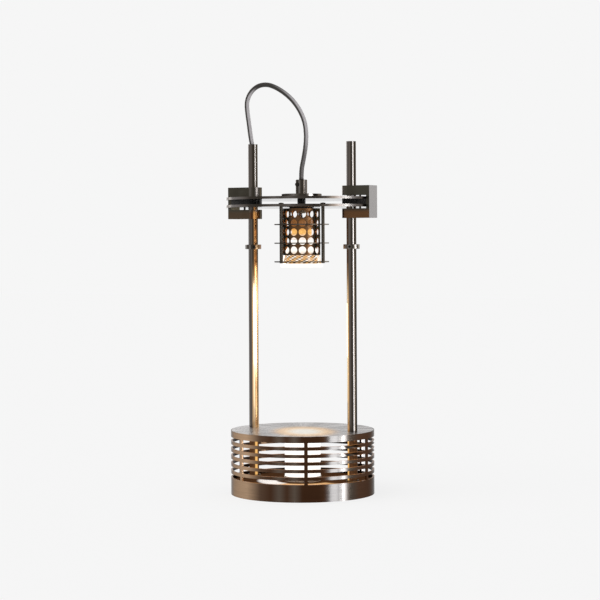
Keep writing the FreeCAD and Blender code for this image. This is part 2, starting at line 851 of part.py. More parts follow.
# --- lamp ---------------------------------------------------------------------------------------
def reflector_side(inset):
    """Curve of the reflector's side, from under the rim to the neck."""
    curve = Part.BSplineCurve()
    curve.interpolate([
        Vec(lamp_shoulder - inset, 0, lamp_shoulder_level),
        Vec(lamp_waist - inset, 0, lamp_front + lamp_waist_level - inset / 2),
        Vec(lamp_neck - inset, 0, lamp_neck_top - inset),
    ])
    return curve.toShape()


def lamp_reflector():
    outside = polyline([
        Vec(0, 0, lamp_neck_top), Vec(0, 0, lamp_front), Vec(lamp_rim_radius, 0, lamp_front),
        Vec(lamp_rim_radius, 0, lamp_rim_top), Vec(lamp_shoulder, 0, lamp_shoulder_level)])
    neck = polyline([Vec(lamp_neck, 0, lamp_neck_top), Vec(0, 0, lamp_neck_top)])
    body = revolved(outside + [reflector_side(0)] + neck)
    inner_neck = lamp_neck_top - lamp_wall
    lens_top = lamp_front + lens_thickness + seat_gap
    mouth = lamp_shoulder - lamp_wall
    hollow = polyline([
        Vec(0, 0, inner_neck), Vec(0, 0, lens_top), Vec(mouth, 0, lens_top),
        Vec(mouth, 0, lamp_shoulder_level)])
    top = polyline([Vec(lamp_neck - lamp_wall, 0, inner_neck), Vec(0, 0, inner_neck)])
    lens_seat = cylinder(lamp_rim_radius - lamp_wall, lamp_front, lens_top)
    return body.cut([revolved(hollow + [reflector_side(lamp_wall)] + top), lens_seat])


def lamp_lens():
    return cylinder(lamp_rim_radius - lamp_wall - fit_gap, lamp_front, lamp_front + lens_thickness)


def lamp_base():
    """Ceramic base behind the reflector, stepped in where the pins stand."""
    body = cylinder(lamp_neck, lamp_neck_top, lamp_top)
    top_edge = [edge for edge in body.Edges if edge.BoundBox.ZMin > lamp_top - fit_gap]
    return body.makeChamfer(lamp_base_chamfer, top_edge)


def lamp_pins():
    """Headed contact pins that hang the lamp in its holder."""
    head_bottom = holder_bottom + holder_floor + pin_room
    pins = []
    for side in (-1, 1):
        shank = cylinder(pin_radius, lamp_top, head_bottom, side * pin_circle)
        head = cylinder(pin_head_radius, head_bottom, head_bottom + pin_head_height, side * pin_circle)
        pins.append(fused([shank, head]))
    return Part.makeCompound(pins)


# --- cable loop from the left post to the grip --------------------------------------------------
def cable_loop():
    points = [Vec(x, 0, z) for x, z in cable_route]
    loop, path, radii = tube_along(points, cable_radius)
    section = math.pi * cable_radius ** 2
    print("cable length", round(path.Length, 1), "smallest radius", round(min(radii), 1))
    print("cable radii", [round(radius, 1) for radius in radii])
    print("cable volume over section times length", round(loop.Volume / (section * path.Length), 4))
    return loop


def write(name, shape):
    if not shape.isValid():
        print("not valid:", name)
    shape.exportStep("parts/" + name + ".step")
    print(name, "solids", len(shape.Solids), "volume", round(shape.Volume, 1))


os.makedirs("parts", exist_ok=True)
plain_parts = [
    base_drum, top_plate, floor_plate, bottom_cover, cover_screws, cover_standoffs, rubber_feet,
    inlet_bushing, terminal_block, base_leads, base_lamp_holder, base_bulb, base_diffuser,
    post_nuts, post_cable, clamp_screws, block_grub_screws, upper_disc, lower_disc, disc_screws,
    centre_spacer, threaded_nipple, grip_nut, cord_grip, grip_screw, head_cable, cage_washer,
    cage_tube, cage_rods, rod_nuts, holder_bracket, bracket_screws, nipple_nut, lamp_holder,
    holder_leads, lamp_reflector, lamp_lens, lamp_base, lamp_pins, cable_loop,
]
for make in plain_parts:
    write(make.__name__, make())
for side, word, turn in ((-1, "left", collar_left_turn), (1, "right", collar_right_turn)):
    write("post_" + word, post(side))
    write("collar_" + word, collar(side, turn))
    write("collar_screw_" + word, collar_screw(side, turn))
    write("clamp_block_" + word, clamp_block(side))
    write("spacer_pad_" + word, spacer_pad(side))
for index, word in enumerate(("upper", "middle", "lower")):
    write("fin_" + word, fin(index))
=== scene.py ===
import math
import bpy
import numpy as np
from mathutils import Matrix, Vector


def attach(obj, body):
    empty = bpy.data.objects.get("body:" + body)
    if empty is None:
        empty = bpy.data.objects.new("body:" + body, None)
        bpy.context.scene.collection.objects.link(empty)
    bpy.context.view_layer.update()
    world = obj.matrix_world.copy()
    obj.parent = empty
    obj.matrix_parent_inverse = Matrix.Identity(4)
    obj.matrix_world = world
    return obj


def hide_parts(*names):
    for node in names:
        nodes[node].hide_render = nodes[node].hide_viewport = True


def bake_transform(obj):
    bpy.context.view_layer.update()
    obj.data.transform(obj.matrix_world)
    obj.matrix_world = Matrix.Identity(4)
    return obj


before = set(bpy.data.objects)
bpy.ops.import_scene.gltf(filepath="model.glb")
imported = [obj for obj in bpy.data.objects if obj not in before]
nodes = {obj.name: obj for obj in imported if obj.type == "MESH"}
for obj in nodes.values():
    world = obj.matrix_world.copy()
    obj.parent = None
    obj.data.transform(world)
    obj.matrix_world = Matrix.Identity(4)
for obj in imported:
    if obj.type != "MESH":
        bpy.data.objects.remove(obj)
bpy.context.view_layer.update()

scene = bpy.context.scene
scene.view_settings.view_transform = "Standard"
viewAzimuth = 27.5            # degrees to the right of the front: the side that the lamp is seen from
fineBump = 0.00001            # metres that brush lines and grain stand out
print("frame loaded:", len(nodes), "nodes")


def tone(red, green, blue):
    # display values from 0 to 255 made linear: divide, then the usual screen curve undone
    shares = [channel / 255 for channel in (red, green, blue)]
    return tuple(s / 12.92 if s <= 0.04045 else ((s + 0.055) / 1.055) ** 2.4 for s in shares) + (1.0,)


def compass(azimuth):
    # unit direction on the table for an azimuth in degrees: 0 is the front, 90 is the right
    return math.sin(math.radians(azimuth)), -math.cos(math.radians(azimuth))


def gridMesh(name, points, closedAround=True, smooth=True, capped=False):
    # rows x columns x 3 array made a mesh of quads: the last column joins the first where it closes, and
    # where it is capped one flat face shuts each end
    rows, columns = points.shape[:2]
    index = np.arange(rows * columns).reshape(rows, columns)
    left = index if closedAround else index[:, :-1]
    right = np.roll(index, -1, axis=1) if closedAround else index[:, 1:]
    quads = np.stack([left[:-1], right[:-1], right[1:], left[1:]], axis=-1).reshape(-1, 4).tolist()
    caps = [index[0, ::-1].tolist(), index[-1].tolist()] if capped else []
    mesh = bpy.data.meshes.new(name)
    mesh.from_pydata(points.reshape(-1, 3).tolist(), [], quads + caps)
    mesh.polygons.foreach_set("use_smooth", [smooth] * len(quads) + [False] * len(caps))
    mesh.update()
    return mesh


def anglesRound(count):
    # evenly spaced angles for one turn, in radians
    return np.arange(count) / count * 2 * np.pi


def addValues(mesh, name, domain, values):
    # one number for each point or face, which a material reads by its name
    mesh.attributes.new(name, "FLOAT", domain).data.foreach_set("value", values.astype(np.float32))


def addPiece(name, mesh, material):
    # new object in the scene with its one material
    piece = bpy.data.objects.new(name, mesh)
    scene.collection.objects.link(piece)
    mesh.materials.append(material)
    return piece


# one class for all shader maths, so that sums are written as Python
class Shade:
    def __init__(self, tree, socket=None):
        self.tree = tree
        self.socket = socket

    def node(self, kind, settings=None, inputs=None, output=0):
        # new node: its settings, with a ramp's stops among them, then the value or link of each input
        made = self.tree.nodes.new(kind)
        settings = dict(settings or {})
        for place, (position, colour) in enumerate(settings.pop("stops", [])):
            stops = made.color_ramp.elements
            stop = stops[place] if place < 2 else stops.new(position)
            stop.position = position
            stop.color = colour
        for key, value in settings.items():
            setattr(made, key, value)
        for key, value in (inputs or {}).items():
            if isinstance(value, Shade):
                self.tree.links.new(value.socket, made.inputs[key])
            else:
                made.inputs[key].default_value = value
        return Shade(self.tree, made.outputs[output])

    def out(self, name):
        return Shade(self.tree, self.socket.node.outputs[name])

    def maths(self, operation, *values):
        return self.node("ShaderNodeMath", {"operation": operation}, dict(enumerate(values)))

    def __add__(self, other):
        return self.maths("ADD", self, other)

    def __radd__(self, other):
        return self.maths("ADD", other, self)

    def __sub__(self, other):
        return self.maths("SUBTRACT", self, other)

    def __rsub__(self, other):
        return self.maths("SUBTRACT", other, self)

    def __mul__(self, other):
        return self.maths("MULTIPLY", self, other)

    def __rmul__(self, other):
        return self.maths("MULTIPLY", other, self)

    def __truediv__(self, other):
        return self.maths("DIVIDE", self, other)

    def __pow__(self, other):
        return self.maths("POWER", self, other)

    def ease(self, low, high, start=0.0, end=1.0):
        # smooth step from start to end while the value goes from low to high
        values = {"Value": self, "From Min": low, "From Max": high, "To Min": start, "To Max": end}
        return self.node("ShaderNodeMapRange", {"interpolation_type": "SMOOTHSTEP"}, values)

    def fall(self, low, high):
        # 1 up to low and 0 from high on
        return self.ease(low, high, 1.0, 0.0)

    def spread(self, start, end):
        # noise, most of which lies between 0.3 and 0.7, spread from start to end
        return self.ease(0.3, 0.7, start, end)

    def tint(self, first, second):
        # colour that goes from first to second with this value as the share; the node's colours are its
        # inputs 6 and 7 and its output 2
        return self.node("ShaderNodeMix", {"data_type": "RGBA"}, {0: self, 6: first, 7: second}, 2)

    def times(self, colour):
        # colour multiplied by this value, through a vector
        plain = colour if isinstance(colour, Shade) else colour[:3]
        return self.node("ShaderNodeVectorMath", {"operation": "SCALE"}, {0: plain, "Scale": self})

    def vector(self, x, y, z):
        return self.node("ShaderNodeCombineXYZ", None, {0: x, 1: y, 2: z})

    def attribute(self, name):
        return self.node("ShaderNodeAttribute", {"attribute_name": name}, None, "Fac")

    def grain(self, vector, scale, detail=2.0, roughness=0.5):
        values = {"Vector": vector, "Scale": scale, "Detail": detail, "Roughness": roughness}
        return self.node("ShaderNodeTexNoise", None, values)


def newFinish(name):
    # empty material, and its node tree in the class above
    material = bpy.data.materials.new(name)
    material.use_nodes = True
    material.node_tree.nodes.clear()
    return material, Shade(material.node_tree)


def closeTree(root, kind, shader):
    # the last node of a material or of the world takes the shader
    last = root.tree.nodes.new(kind)
    root.tree.links.new(shader.socket, last.inputs["Surface"])


def closeFinish(material, root, values):
    # the principled shader with these values makes the material
    closeTree(root, "ShaderNodeOutputMaterial", root.node("ShaderNodeBsdfPrincipled", None, values))
    return material


def metal(edge):
    # values that all bare metals share; edge is how bright it stays where it is seen nearly edge on
    return {"Metallic": 1.0, "Specular Tint": (edge, edge, edge, 1.0)}


def places(root, axisX=0.0):
    # object coordinates: across from an upright axis, deep and up
    spot = root.node("ShaderNodeTexCoord", None, None, "Object")
    parts = root.node("ShaderNodeSeparateXYZ", None, {0: spot})
    return parts.out("X") - axisX, parts.out("Y"), parts.out("Z")


def fromAxis(across, deep):
    # distance from the upright axis: the root of the two squares, kept just above zero
    return (across * across + deep * deep + 1e-9) ** 0.5


def facings(root):
    # the surface's own direction: across, deep and up
    facing = root.node("ShaderNodeTexCoord", None, None, "Normal")
    parts = root.node("ShaderNodeSeparateXYZ", None, {0: facing})
    return parts.out("X"), parts.out("Y"), parts.out("Z")


def towards(across, deep, radius, azimuth):
    # cosine of the angle round the axis between a point and an azimuth
    east, north = compass(azimuth)
    return (across * east + deep * north) / radius


def bandAt(cosine, inner, outer):
    # 1 within inner degrees of the azimuth, falling to 0 at outer degrees
    return cosine.ease(math.cos(math.radians(outer)), math.cos(math.radians(inner)))


def roundTones(root, across, deep, bands, tones):
    # colour by the azimuth round an axis: each band is an azimuth in degrees and the name of its tone
    share = root.maths("ARCTAN2", across, deep * -1.0) / (2 * math.pi) + 0.5
    stops = [(0.5 + azimuth / 360, tones[name]) for azimuth, name in bands]
    return root.node("ShaderNodeValToRGB", {"stops": stops}, {0: share})


def bumped(root, height, distance):
    return root.node("ShaderNodeBump", None, {"Height": height, "Distance": distance, "Strength": 1.0})


cameraSetup = {
    "azimuth": viewAzimuth,
    "distance": 2.226,        # metres from the lamp's axis
    "height": 0.3003,
    "lens": 112.5,            # millimetres
    "sensor": 36.0,
    "roll": -0.28,            # degrees
    "shiftAcross": -0.00275,  # shares of the sensor's width
    "shiftUp": -0.1,
}


def makeCamera(setup):
    optics = bpy.data.cameras.new("camera")
    optics.lens = setup["lens"]
    optics.sensor_width = setup["sensor"]
    optics.shift_x = setup["shiftAcross"]
    optics.shift_y = setup["shiftUp"]
    camera = bpy.data.objects.new("camera", optics)
    scene.collection.objects.link(camera)
    east, north = compass(setup["azimuth"])
    turn = Matrix.Rotation(math.radians(setup["azimuth"]), 4, "Z")
    level = Matrix.Rotation(math.radians(90), 4, "X")
    roll = Matrix.Rotation(math.radians(setup["roll"]), 4, "Z")
    place = Matrix.Translation((east * setup["distance"], north * setup["distance"], setup["height"]))
    camera.matrix_world = place @ turn @ level @ roll
    scene.camera = camera


makeCamera(cameraSetup)
print("camera made")


# the cable loop: a mesh tube on the line of a smooth spline

cableSetup = {
    "radius": 0.0028,
    "length": 0.2483,
    "sides": 24,
    "resolution": 12,
    "route": [                # across and up, from inside the left post to the grip
        (-0.0657, 0.3970),
        (-0.0657, 0.4100),
        (-0.0686, 0.4245),
        (-0.0707, 0.4400),
        (-0.0732, 0.4555),
        (-0.0738, 0.4680),
        (-0.0684, 0.4789),
        (-0.0582, 0.4860),
        (-0.0458, 0.4871),
        (-0.0348, 0.4834),
        (-0.0236, 0.4770),
        (-0.0118, 0.4676),
        (-0.0017, 0.4548),
        (0.0050, 0.4405),
        (0.0070, 0.4250),
        (0.0057, 0.4095),
        (0.0030, 0.3960),
        (0.0000, 0.3838),
        (0.0000, 0.3719),
    ],
    "leanStart": (-0.060, 0, 0.44),    # up to here the loop follows the post
    "leanEnd": (0.0, 0, 0.44),         # and from here on it follows the head
    # the sheath's tones in painted shade and in its painted sheen
    "dark": tone(52, 49, 45),
    "light": tone(178, 174, 176),
    "paintedSheenAzimuth": 60.0,     # the way the side with the painted sheen looks
    "paintedShadeTowardsGrip": (0.192, 0.222),         # metres along: painted shade makes it darker towards the grip
    "roughness": 0.35,
    "mottling": 60,           # per metre
    "twistAlong": 420,        # radians per metre
    "twistAcross": 2.2,
    "twistDepth": 0.2,
}


def splineLine(route, resolution):
    # the smooth line of a spline with these control points, as its own points
    curve = bpy.data.curves.new("cableLine", "CURVE")
    curve.dimensions = "3D"
    curve.resolution_u = resolution
    spline = curve.splines.new("NURBS")
    spline.points.add(len(route) - 1)
    corners = np.array([(x, 0.0, z, 1.0) for x, z in route])
    spline.points.foreach_set("co", corners.ravel())
    spline.order_u = 3
    spline.use_endpoint_u = True
    holder = bpy.data.objects.new("cableLine", curve)
    scene.collection.objects.link(holder)
    bpy.context.view_layer.update()
    line = bpy.data.meshes.new_from_object(holder)
    points = np.empty(len(line.vertices) * 3)
    line.vertices.foreach_get("co", points)
    bpy.data.objects.remove(holder)
    bpy.data.meshes.remove(line)
    return points.reshape(-1, 3)


def tubeMesh(name, line, radius, sides):
    # circle of the radius carried along a flat line: the radius times the cosine of the angle across the
    # line, and times its sine out of the line's plane
    ahead = np.gradient(line, axis=0)
    ahead /= np.linalg.norm(ahead, axis=1)[:, None]
    outOfPlane = np.array([0.0, 1.0, 0.0])
    across = np.cross(outOfPlane, ahead)
    angle = anglesRound(sides)
    ring = np.cos(angle)[None, :, None] * across[:, None, :] + np.sin(angle)[None, :, None] * outOfPlane
    mesh = gridMesh(name, line[:, None, :] + radius * ring, capped=True)
    run = np.concatenate([[0.0], np.cumsum(np.linalg.norm(np.diff(line, axis=0), axis=1))])
    addValues(mesh, "along", "POINT", np.repeat(run, sides))
    addValues(mesh, "across", "POINT", np.tile(np.cos(angle), len(line)))
    addValues(mesh, "outward", "POINT", np.tile(np.sin(angle), len(line)))
    return mesh


def cableFinish(setup):
    # grey sheath: a painted sheen where it looks to the right and painted shade near the grip, with a faint
    # twist as bump, the sine of the way along plus the place across
    material, root = newFinish("cableSheath")
    along = root.attribute("along")
    across = root.attribute("across")
    spot = root.vector(across, root.attribute("outward"), along * setup["mottling"])
    mottling = root.grain(spot, 1.6)
    twist = root.maths("SINE", along * setup["twistAlong"] + across * setup["twistAcross"])
    normalX, normalY = facings(root)[:2]
    east, north = compass(setup["paintedSheenAzimuth"])
    # painted sheen towards the right, fading into painted shade near the grip
    share = (normalX * east + normalY * north).ease(0.55, 0.85) * along.ease(*setup["paintedShadeTowardsGrip"], 1.0, 0.3)
    return closeFinish(material, root, {
        "Base Color": mottling.spread(0.95, 1.05).times(share.tint(setup["dark"], setup["light"])),
        "Roughness": mottling.spread(setup["roughness"] - 0.03, setup["roughness"] + 0.05),
        "Specular IOR Level": 0.2,
        "Normal": bumped(root, mottling + twist * setup["twistDepth"], fineBump),
    })


cableLine = splineLine(cableSetup["route"], cableSetup["resolution"])
cableTube = tubeMesh("cable", cableLine, cableSetup["radius"], cableSetup["sides"])
cable = addPiece("cable", cableTube, cableFinish(cableSetup))
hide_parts("cable_loop")
2 * cableSetup["radius"]
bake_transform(cable)
print("cable made:", len(cableLine), "points on its line")


# metals

drumSetup = {
    # tones of the drum's painted reflections, of its painted shade inside and of the painted glow on its
    # slots' lips
    "dark": tone(70, 47, 33),
    "brown": tone(88, 68, 54),
    "tan": tone(178, 148, 120),
    "grey": tone(92, 80, 70),
    "silver": tone(98, 97, 97),
    "mist": tone(88, 87, 87),
    "shine": tone(124, 122, 121),
    "edge": tone(82, 80, 79),
    "black": tone(54, 51, 49),
    "umber": tone(76, 67, 59),
    "deep": tone(61, 39, 25),
    "russet": tone(80, 57, 43),
    "within": tone(40, 29, 20),
    "lip": tone(160, 108, 62),
    "paintedShadeFoot": (0.004, 0.050),        # heights in metres from which and up to which each change goes
    "lowestSlot": (0.012, 0.014),
    "highestSlot": (0.069, 0.071),
    "wall": (0.0828, 0.0836),          # distance from the axis
    "linesRound": 2.0,
    "linesUp": 2600,          # per metre
}

drumBands = [                 # azimuth and tone of the painted reflections, from the back round by the left, front and right
    (-180, "grey"), (-140, "brown"), (-112, "tan"), (-90, "silver"), (-62, "brown"), (-44, "tan"),
    (-22, "tan"), (-8, "brown"), (2, "dark"), (9, "grey"), (15, "dark"), (21, "grey"), (27, "deep"),
    (40, "deep"), (44.5, "dark"), (49, "silver"), (54.5, "silver"), (56.5, "mist"), (58.5, "shine"),
    (60, "shine"), (62, "edge"), (64.5, "black"), (69, "umber"), (77, "russet"), (91, "russet"),
    (100, "brown"), (122, "grey"), (150, "silver"), (170, "brown"), (180, "grey"),
]


def drumFinish(setup, bands):
    # upright bands of painted reflection round the wall under fine level brush lines, painted shade at the
    # foot and brown painted shade inside, and a painted warm glow on the slots' upper and lower lips,
    # strongest towards and away from the view: the cosine of the azimuth, squared
    material, root = newFinish("brushedDrum")
    across, deep, up = places(root)
    radius = fromAxis(across, deep)
    colour = roundTones(root, across, deep, bands, setup)
    # painted shade inside the wall
    colour = radius.fall(*setup["wall"]).tint(colour, setup["within"])
    level = root.vector(across / radius * setup["linesRound"], deep / radius * setup["linesRound"],
                        up * setup["linesUp"])
    lines = root.grain(level, 1.0, detail=3.0, roughness=0.7)
    # brush lines, darker with painted shade towards the foot
    brushedAndShaded = lines.ease(0.25, 0.75, 0.84, 1.16) * up.ease(*setup["paintedShadeFoot"], 0.86, 1.0)
    normalZ = facings(root)[2]
    slots = up.ease(*setup["lowestSlot"]) * up.fall(*setup["highestSlot"])
    viewSquared = towards(across, deep, radius, viewAzimuth) ** 2
    # painted warm glow on the lips of the slots, for the light inside the base
    lips = (normalZ * normalZ).ease(0.5, 0.9) * slots * viewSquared.ease(0.12, 0.55, 0.25, 1.0)
    return closeFinish(material, root, metal(0.5) | {
        "Base Color": brushedAndShaded.times(colour),
        "Roughness": lines.spread(0.14, 0.22),
        "Emission Color": lips.times(setup["lip"]),
        "Emission Strength": 1.0,
        "Normal": bumped(root, lines, fineBump),
    })


plateSetup = {
    "light": tone(228, 225, 224),
    "dark": tone(180, 176, 175),
    # tones of the painted pool of lamp light
    "gold": tone(250, 204, 146),
    "glow": tone(255, 250, 240),
    "poolAzimuth": 33.0,      # the way in which the lamp's painted pool of light is drawn out
    "poolMiddle": 0.025,
    "poolWidth": 0.041,       # half sizes
    "poolLength": 0.066,
    "goldFades": (0.48, 1.12),         # shares of the half sizes
    "glowFades": (0.20, 0.86),
    "fans": 4.5,
    "rings": 3000,            # per metre
}


def plateFinish(setup):
    # turned plate: fine rings, fan-shaped light and dark, and the lamp's warm pool of light painted in, an
    # ellipse: the root of the two squared distances along and across it, each over its half size
    material, root = newFinish("turnedPlate")
    across, deep = places(root)[:2]
    radius = fromAxis(across, deep)
    fan = root.grain(root.vector(across / radius, deep / radius, 0.0), setup["fans"]).ease(0.35, 0.65)
    rings = root.grain(root.vector(radius * setup["rings"], fan, 0.0), 1.0, roughness=0.6)
    east, north = compass(setup["poolAzimuth"])
    along = (across * east + deep * north - setup["poolMiddle"]) / setup["poolLength"]
    aside = (across * north - deep * east) / setup["poolWidth"]
    reach = (along * along + aside * aside) ** 0.5
    # painted pool of lamp light, paler still in its middle; where it is painted the plate is less metallic
    pool = reach.fall(*setup["goldFades"])
    colour = fan.tint(setup["dark"], setup["light"])
    colour = pool.tint(colour, setup["gold"])
    colour = reach.fall(*setup["glowFades"]).tint(colour, setup["glow"])
    return closeFinish(material, root, metal(0.6) | {
        "Base Color": rings.spread(0.92, 1.08).times(colour),
        "Metallic": 1 - pool * 0.7,
        "Roughness": rings.spread(0.24, 0.34),
        "Specular IOR Level": 0.0,
        "Normal": bumped(root, rings, fineBump),
    })


postSetup = {
    # tones of the posts' painted reflections, painted lamp light and painted shade inside the base
    "dark": tone(52, 47, 41),
    "brown": tone(72, 65, 58),
    "mid": tone(96, 90, 86),
    "grey": tone(112, 107, 104),
    "light": tone(150, 146, 144),
    "pale": tone(178, 174, 172),
    "shine": tone(206, 203, 201),
    "gold": tone(222, 180, 130),
    "heart": tone(255, 238, 206),
    "dimLampLight": tone(106, 80, 52),
    "amber": tone(176, 124, 74),
    "umber": tone(96, 70, 50),
    "inside": tone(70, 46, 28),
    "insideGold": tone(240, 186, 110),
    "plateTop": (0.068, 0.071),        # heights in metres from which and up to which each change goes
    "dimLampLightEnds": (0.125, 0.165),
    "goldStarts": (0.075, 0.150),
    "goldEnds": (0.212, 0.282),
    "heartStarts": (0.075, 0.160),
    "heartEnds": (0.232, 0.262),
    "blockTop": (0.343, 0.349),
    "heartFades": (4, 17),             # degrees from its middle
    "warmLineFades": (8, 26),
    "glowFades": (8, 22),
    "dimLampLightFades": (13, 24),
    "dimLampLightAzimuth": 64.0,
}

postSides = {
    "postLeft": {
        "axisX": -0.0657,
        "gold": 56.0,         # azimuths of the side with the painted lamp light and of its painted pale highlight
        "heart": 37.0,
        "goldFades": (32, 54),         # degrees from its middle
        "paleLine": (61, 2, "shine"),  # azimuth, half width and tone of the painted highlight line
        "warmLine": "amber",
    },
    "postRight": {
        "axisX": 0.0657,
        "gold": -34.0,
        "heart": -42.0,
        "goldFades": (13, 30),
        "paleLine": (45.5, 3.5, "pale"),
        "warmLine": "umber",
    },
}


def postBands(middle, half, line):
    # azimuth and tone of painted reflections, from the back round by the left, front and right, with a
    # painted pale highlight line round its middle
    return [
        (-180, "mid"), (-140, "brown"), (-95, "mid"), (-55, "light"), (-26, "grey"), (-9, "brown"),
        (4, "mid"), (17, "brown"), (28, "dark"), (middle - half - 4, "dark"), (middle - half, line),
        (middle + half, line), (middle + half + 4, "dark"), (100, "dark"), (130, "brown"), (160, "grey"),
        (180, "mid"),
    ]


def postFinish(name, side, setup):
    # polished bar: narrow upright bands of painted reflection round it, and on the lamp's side painted lamp
    # light, gold with a painted pale highlight at its heart, dimmer painted light low down and a thin
    # painted warm line; inside the base it is brown with painted shade and a painted gold glow from the
    # inner light
    material, root = newFinish(name)
    across, deep, up = places(root, side["axisX"])
    radius = fromAxis(across, deep)
    grain = root.grain(root.vector(across / radius, deep / radius, up * 3), 5.0)
    lampSide = towards(across, deep, radius, side["gold"])
    # painted lamp light on the side towards the lamp
    gold = bandAt(lampSide, *side["goldFades"]) * up.fall(*setup["goldEnds"])
    gold = gold * up.ease(*setup["goldStarts"], 0.8, 1.0)
    # painted pale highlight at the heart of the lamp light
    heart = bandAt(towards(across, deep, radius, side["heart"]), *setup["heartFades"])
    heart = heart * up.ease(*setup["heartStarts"], 0.3, 1.0) * up.fall(*setup["heartEnds"])
    # painted dimmer lamp light low down
    dimLampLight = bandAt(towards(across, deep, radius, setup["dimLampLightAzimuth"]), *setup["dimLampLightFades"])
    dimLampLight = dimLampLight * gold * up.fall(*setup["dimLampLightEnds"])
    colour = roundTones(root, across, deep, postBands(*side["paleLine"]), setup)
    # thin painted warm line of lamp light
    warmLine = bandAt(lampSide, *setup["warmLineFades"]) * up.fall(*setup["blockTop"])
    colour = warmLine.tint(colour, setup[side["warmLine"]])
    colour = gold.tint(colour, setup["gold"])
    colour = heart.tint(colour, setup["heart"])
    colour = dimLampLight.tint(colour, setup["dimLampLight"])
    # painted shade inside the base, with a painted gold glow towards the inner light
    inBase = up.fall(*setup["plateTop"])
    colour = inBase.tint(colour, setup["inside"])
    glow = bandAt(lampSide, *setup["glowFades"]).tint(setup["inside"], setup["insideGold"])
    return closeFinish(material, root, metal(0.4) | {
        "Base Color": grain.spread(0.93, 1.07).times(colour),
        "Roughness": grain.spread(0.13, 0.17),
        "Emission Color": inBase.times(glow),
        "Emission Strength": 1.0,
    })


blockSetup = {
    # cloudy face tones, then tones of the painted warm light, of the outer end's painted reflection and of
    # the inner ends' painted reflections
    "face": tone(66, 63, 55),
    "shade": tone(57, 53, 46),
    "warm": tone(94, 66, 44),
    "end": tone(98, 97, 97),
    "dark": tone(54, 50, 43),
    "soft": tone(76, 71, 66),
    "light": tone(96, 91, 86),
    "streak": tone(102, 98, 96),
    "umber": tone(68, 46, 32),
    "copper": tone(92, 70, 54),
    "gold": tone(224, 160, 92),
    "dimLampLight": tone(148, 104, 60),
    "shadedLampLight": tone(88, 57, 30),
    "slot": (0.332, 0.3375),           # height in metres
    "innerEnd": (0.0650, 0.0660),      # distances from the middle, across
    "outerEnd": (0.0880, 0.0925),
    "linesAcross": 30,        # per metre
    "linesUp": 1400,
    "clouds": 45.0,
}

# azimuth and tone of painted reflections round the blocks' round inner ends, above and below the slot, with
# painted warm lamp light below it
blockBands = {
    "leftUpper": [
        (-180, "face"), (0, "face"), (9, "light"), (16, "soft"), (28, "dark"), (39, "dark"), (47, "streak"),
        (63, "streak"), (71, "soft"), (82, "dark"), (110, "dark"), (170, "face"), (180, "face"),
    ],
    "leftLower": [
        (-180, "shade"), (0, "shade"), (9, "copper"), (16, "umber"), (27, "umber"), (33, "gold"),
        (41, "gold"), (48, "dimLampLight"), (56, "shadedLampLight"), (60, "dimLampLight"), (67, "dimLampLight"), (74, "umber"),
        (80, "dark"), (110, "dark"), (170, "face"), (180, "face"),
    ],
    "rightUpper": [
        (-180, "face"), (-90, "light"), (-38, "light"), (-28, "soft"), (-14, "face"), (180, "face"),
    ],
    "rightLower": [
        (-180, "umber"), (-90, "copper"), (-34, "copper"), (-16, "warm"), (180, "warm"),
    ],
}


def blockFinish(name, setup, outward, paintedWarmLight):
    # milled block: dark faces, outer end pale with a painted reflection, painted warm lamp light below the
    # slot, and upright bands of painted reflection round the inner end; outward is 1 or -1 for the way its
    # outer end looks
    material, root = newFinish(name)
    across, deep, up = places(root)
    normalX, normalY = facings(root)[:2]
    outerEnd = (normalX * outward).ease(0.8, 0.95) * (across * outward).ease(*setup["outerEnd"])
    innerEnd = (across * outward).fall(*setup["innerEnd"])
    lower = up.fall(*setup["slot"])
    milled = root.vector(across * setup["linesAcross"], deep * setup["linesUp"], up * setup["linesUp"])
    lines = root.grain(milled, 1.0, detail=3.0)
    cloudy = root.grain(root.vector(across, deep, up), setup["clouds"])
    colour = cloudy.ease(0.35, 0.65).tint(setup["shade"], setup["face"])
    # painted warm lamp light below the slot
    colour = (lower * paintedWarmLight).tint(colour, setup["warm"])
    upperBands = roundTones(root, normalX, normalY, blockBands[name + "Upper"], setup)
    lowerBands = roundTones(root, normalX, normalY, blockBands[name + "Lower"], setup)
    colour = innerEnd.tint(colour, lower.tint(upperBands, lowerBands))
    # painted reflection on the outer end
    colour = outerEnd.tint(colour, setup["end"])
    return closeFinish(material, root, metal(0.4) | {
        "Base Color": lines.spread(0.93, 1.07).times(colour),
        "Roughness": lines.spread(0.2, 0.28),
        "Normal": bumped(root, lines, fineBump),
    })


def steelFinish(name, dark, light, roughness, streaks=400.0):
    # turned small steel: two close tones, half by fine level lines and half by clouds
    material, root = newFinish(name)
    across, deep, up = places(root)
    lines = root.grain(root.vector(across * 60, deep * 60, up * streaks), 1.0, detail=3.0)
    cloudy = root.grain(root.vector(across, deep, up), 120.0)
    return closeFinish(material, root, metal(0.5) | {
        "Base Color": (lines * 0.5 + cloudy * 0.5).ease(0.35, 0.65).tint(dark, light),
        "Roughness": cloudy.spread(roughness, roughness + 0.1),
        "Normal": bumped(root, lines, fineBump),
    })


discSetup = {
    "black": tone(50, 45, 40),
    "dark": tone(58, 53, 48),
    "soft": tone(72, 66, 61),
    "light": tone(92, 86, 82),
    "pale": tone(118, 113, 111),
    "end": tone(140, 136, 133),
    "shine": tone(186, 182, 179),
    "face": tone(252, 250, 249),
    "rim": (0.0888, 0.0894),           # distance from the axis in metres
    "rings": 2500,            # per metre
    "linesUp": 3000,
    "bump": 0.000002,         # metres that the rings stand out
}

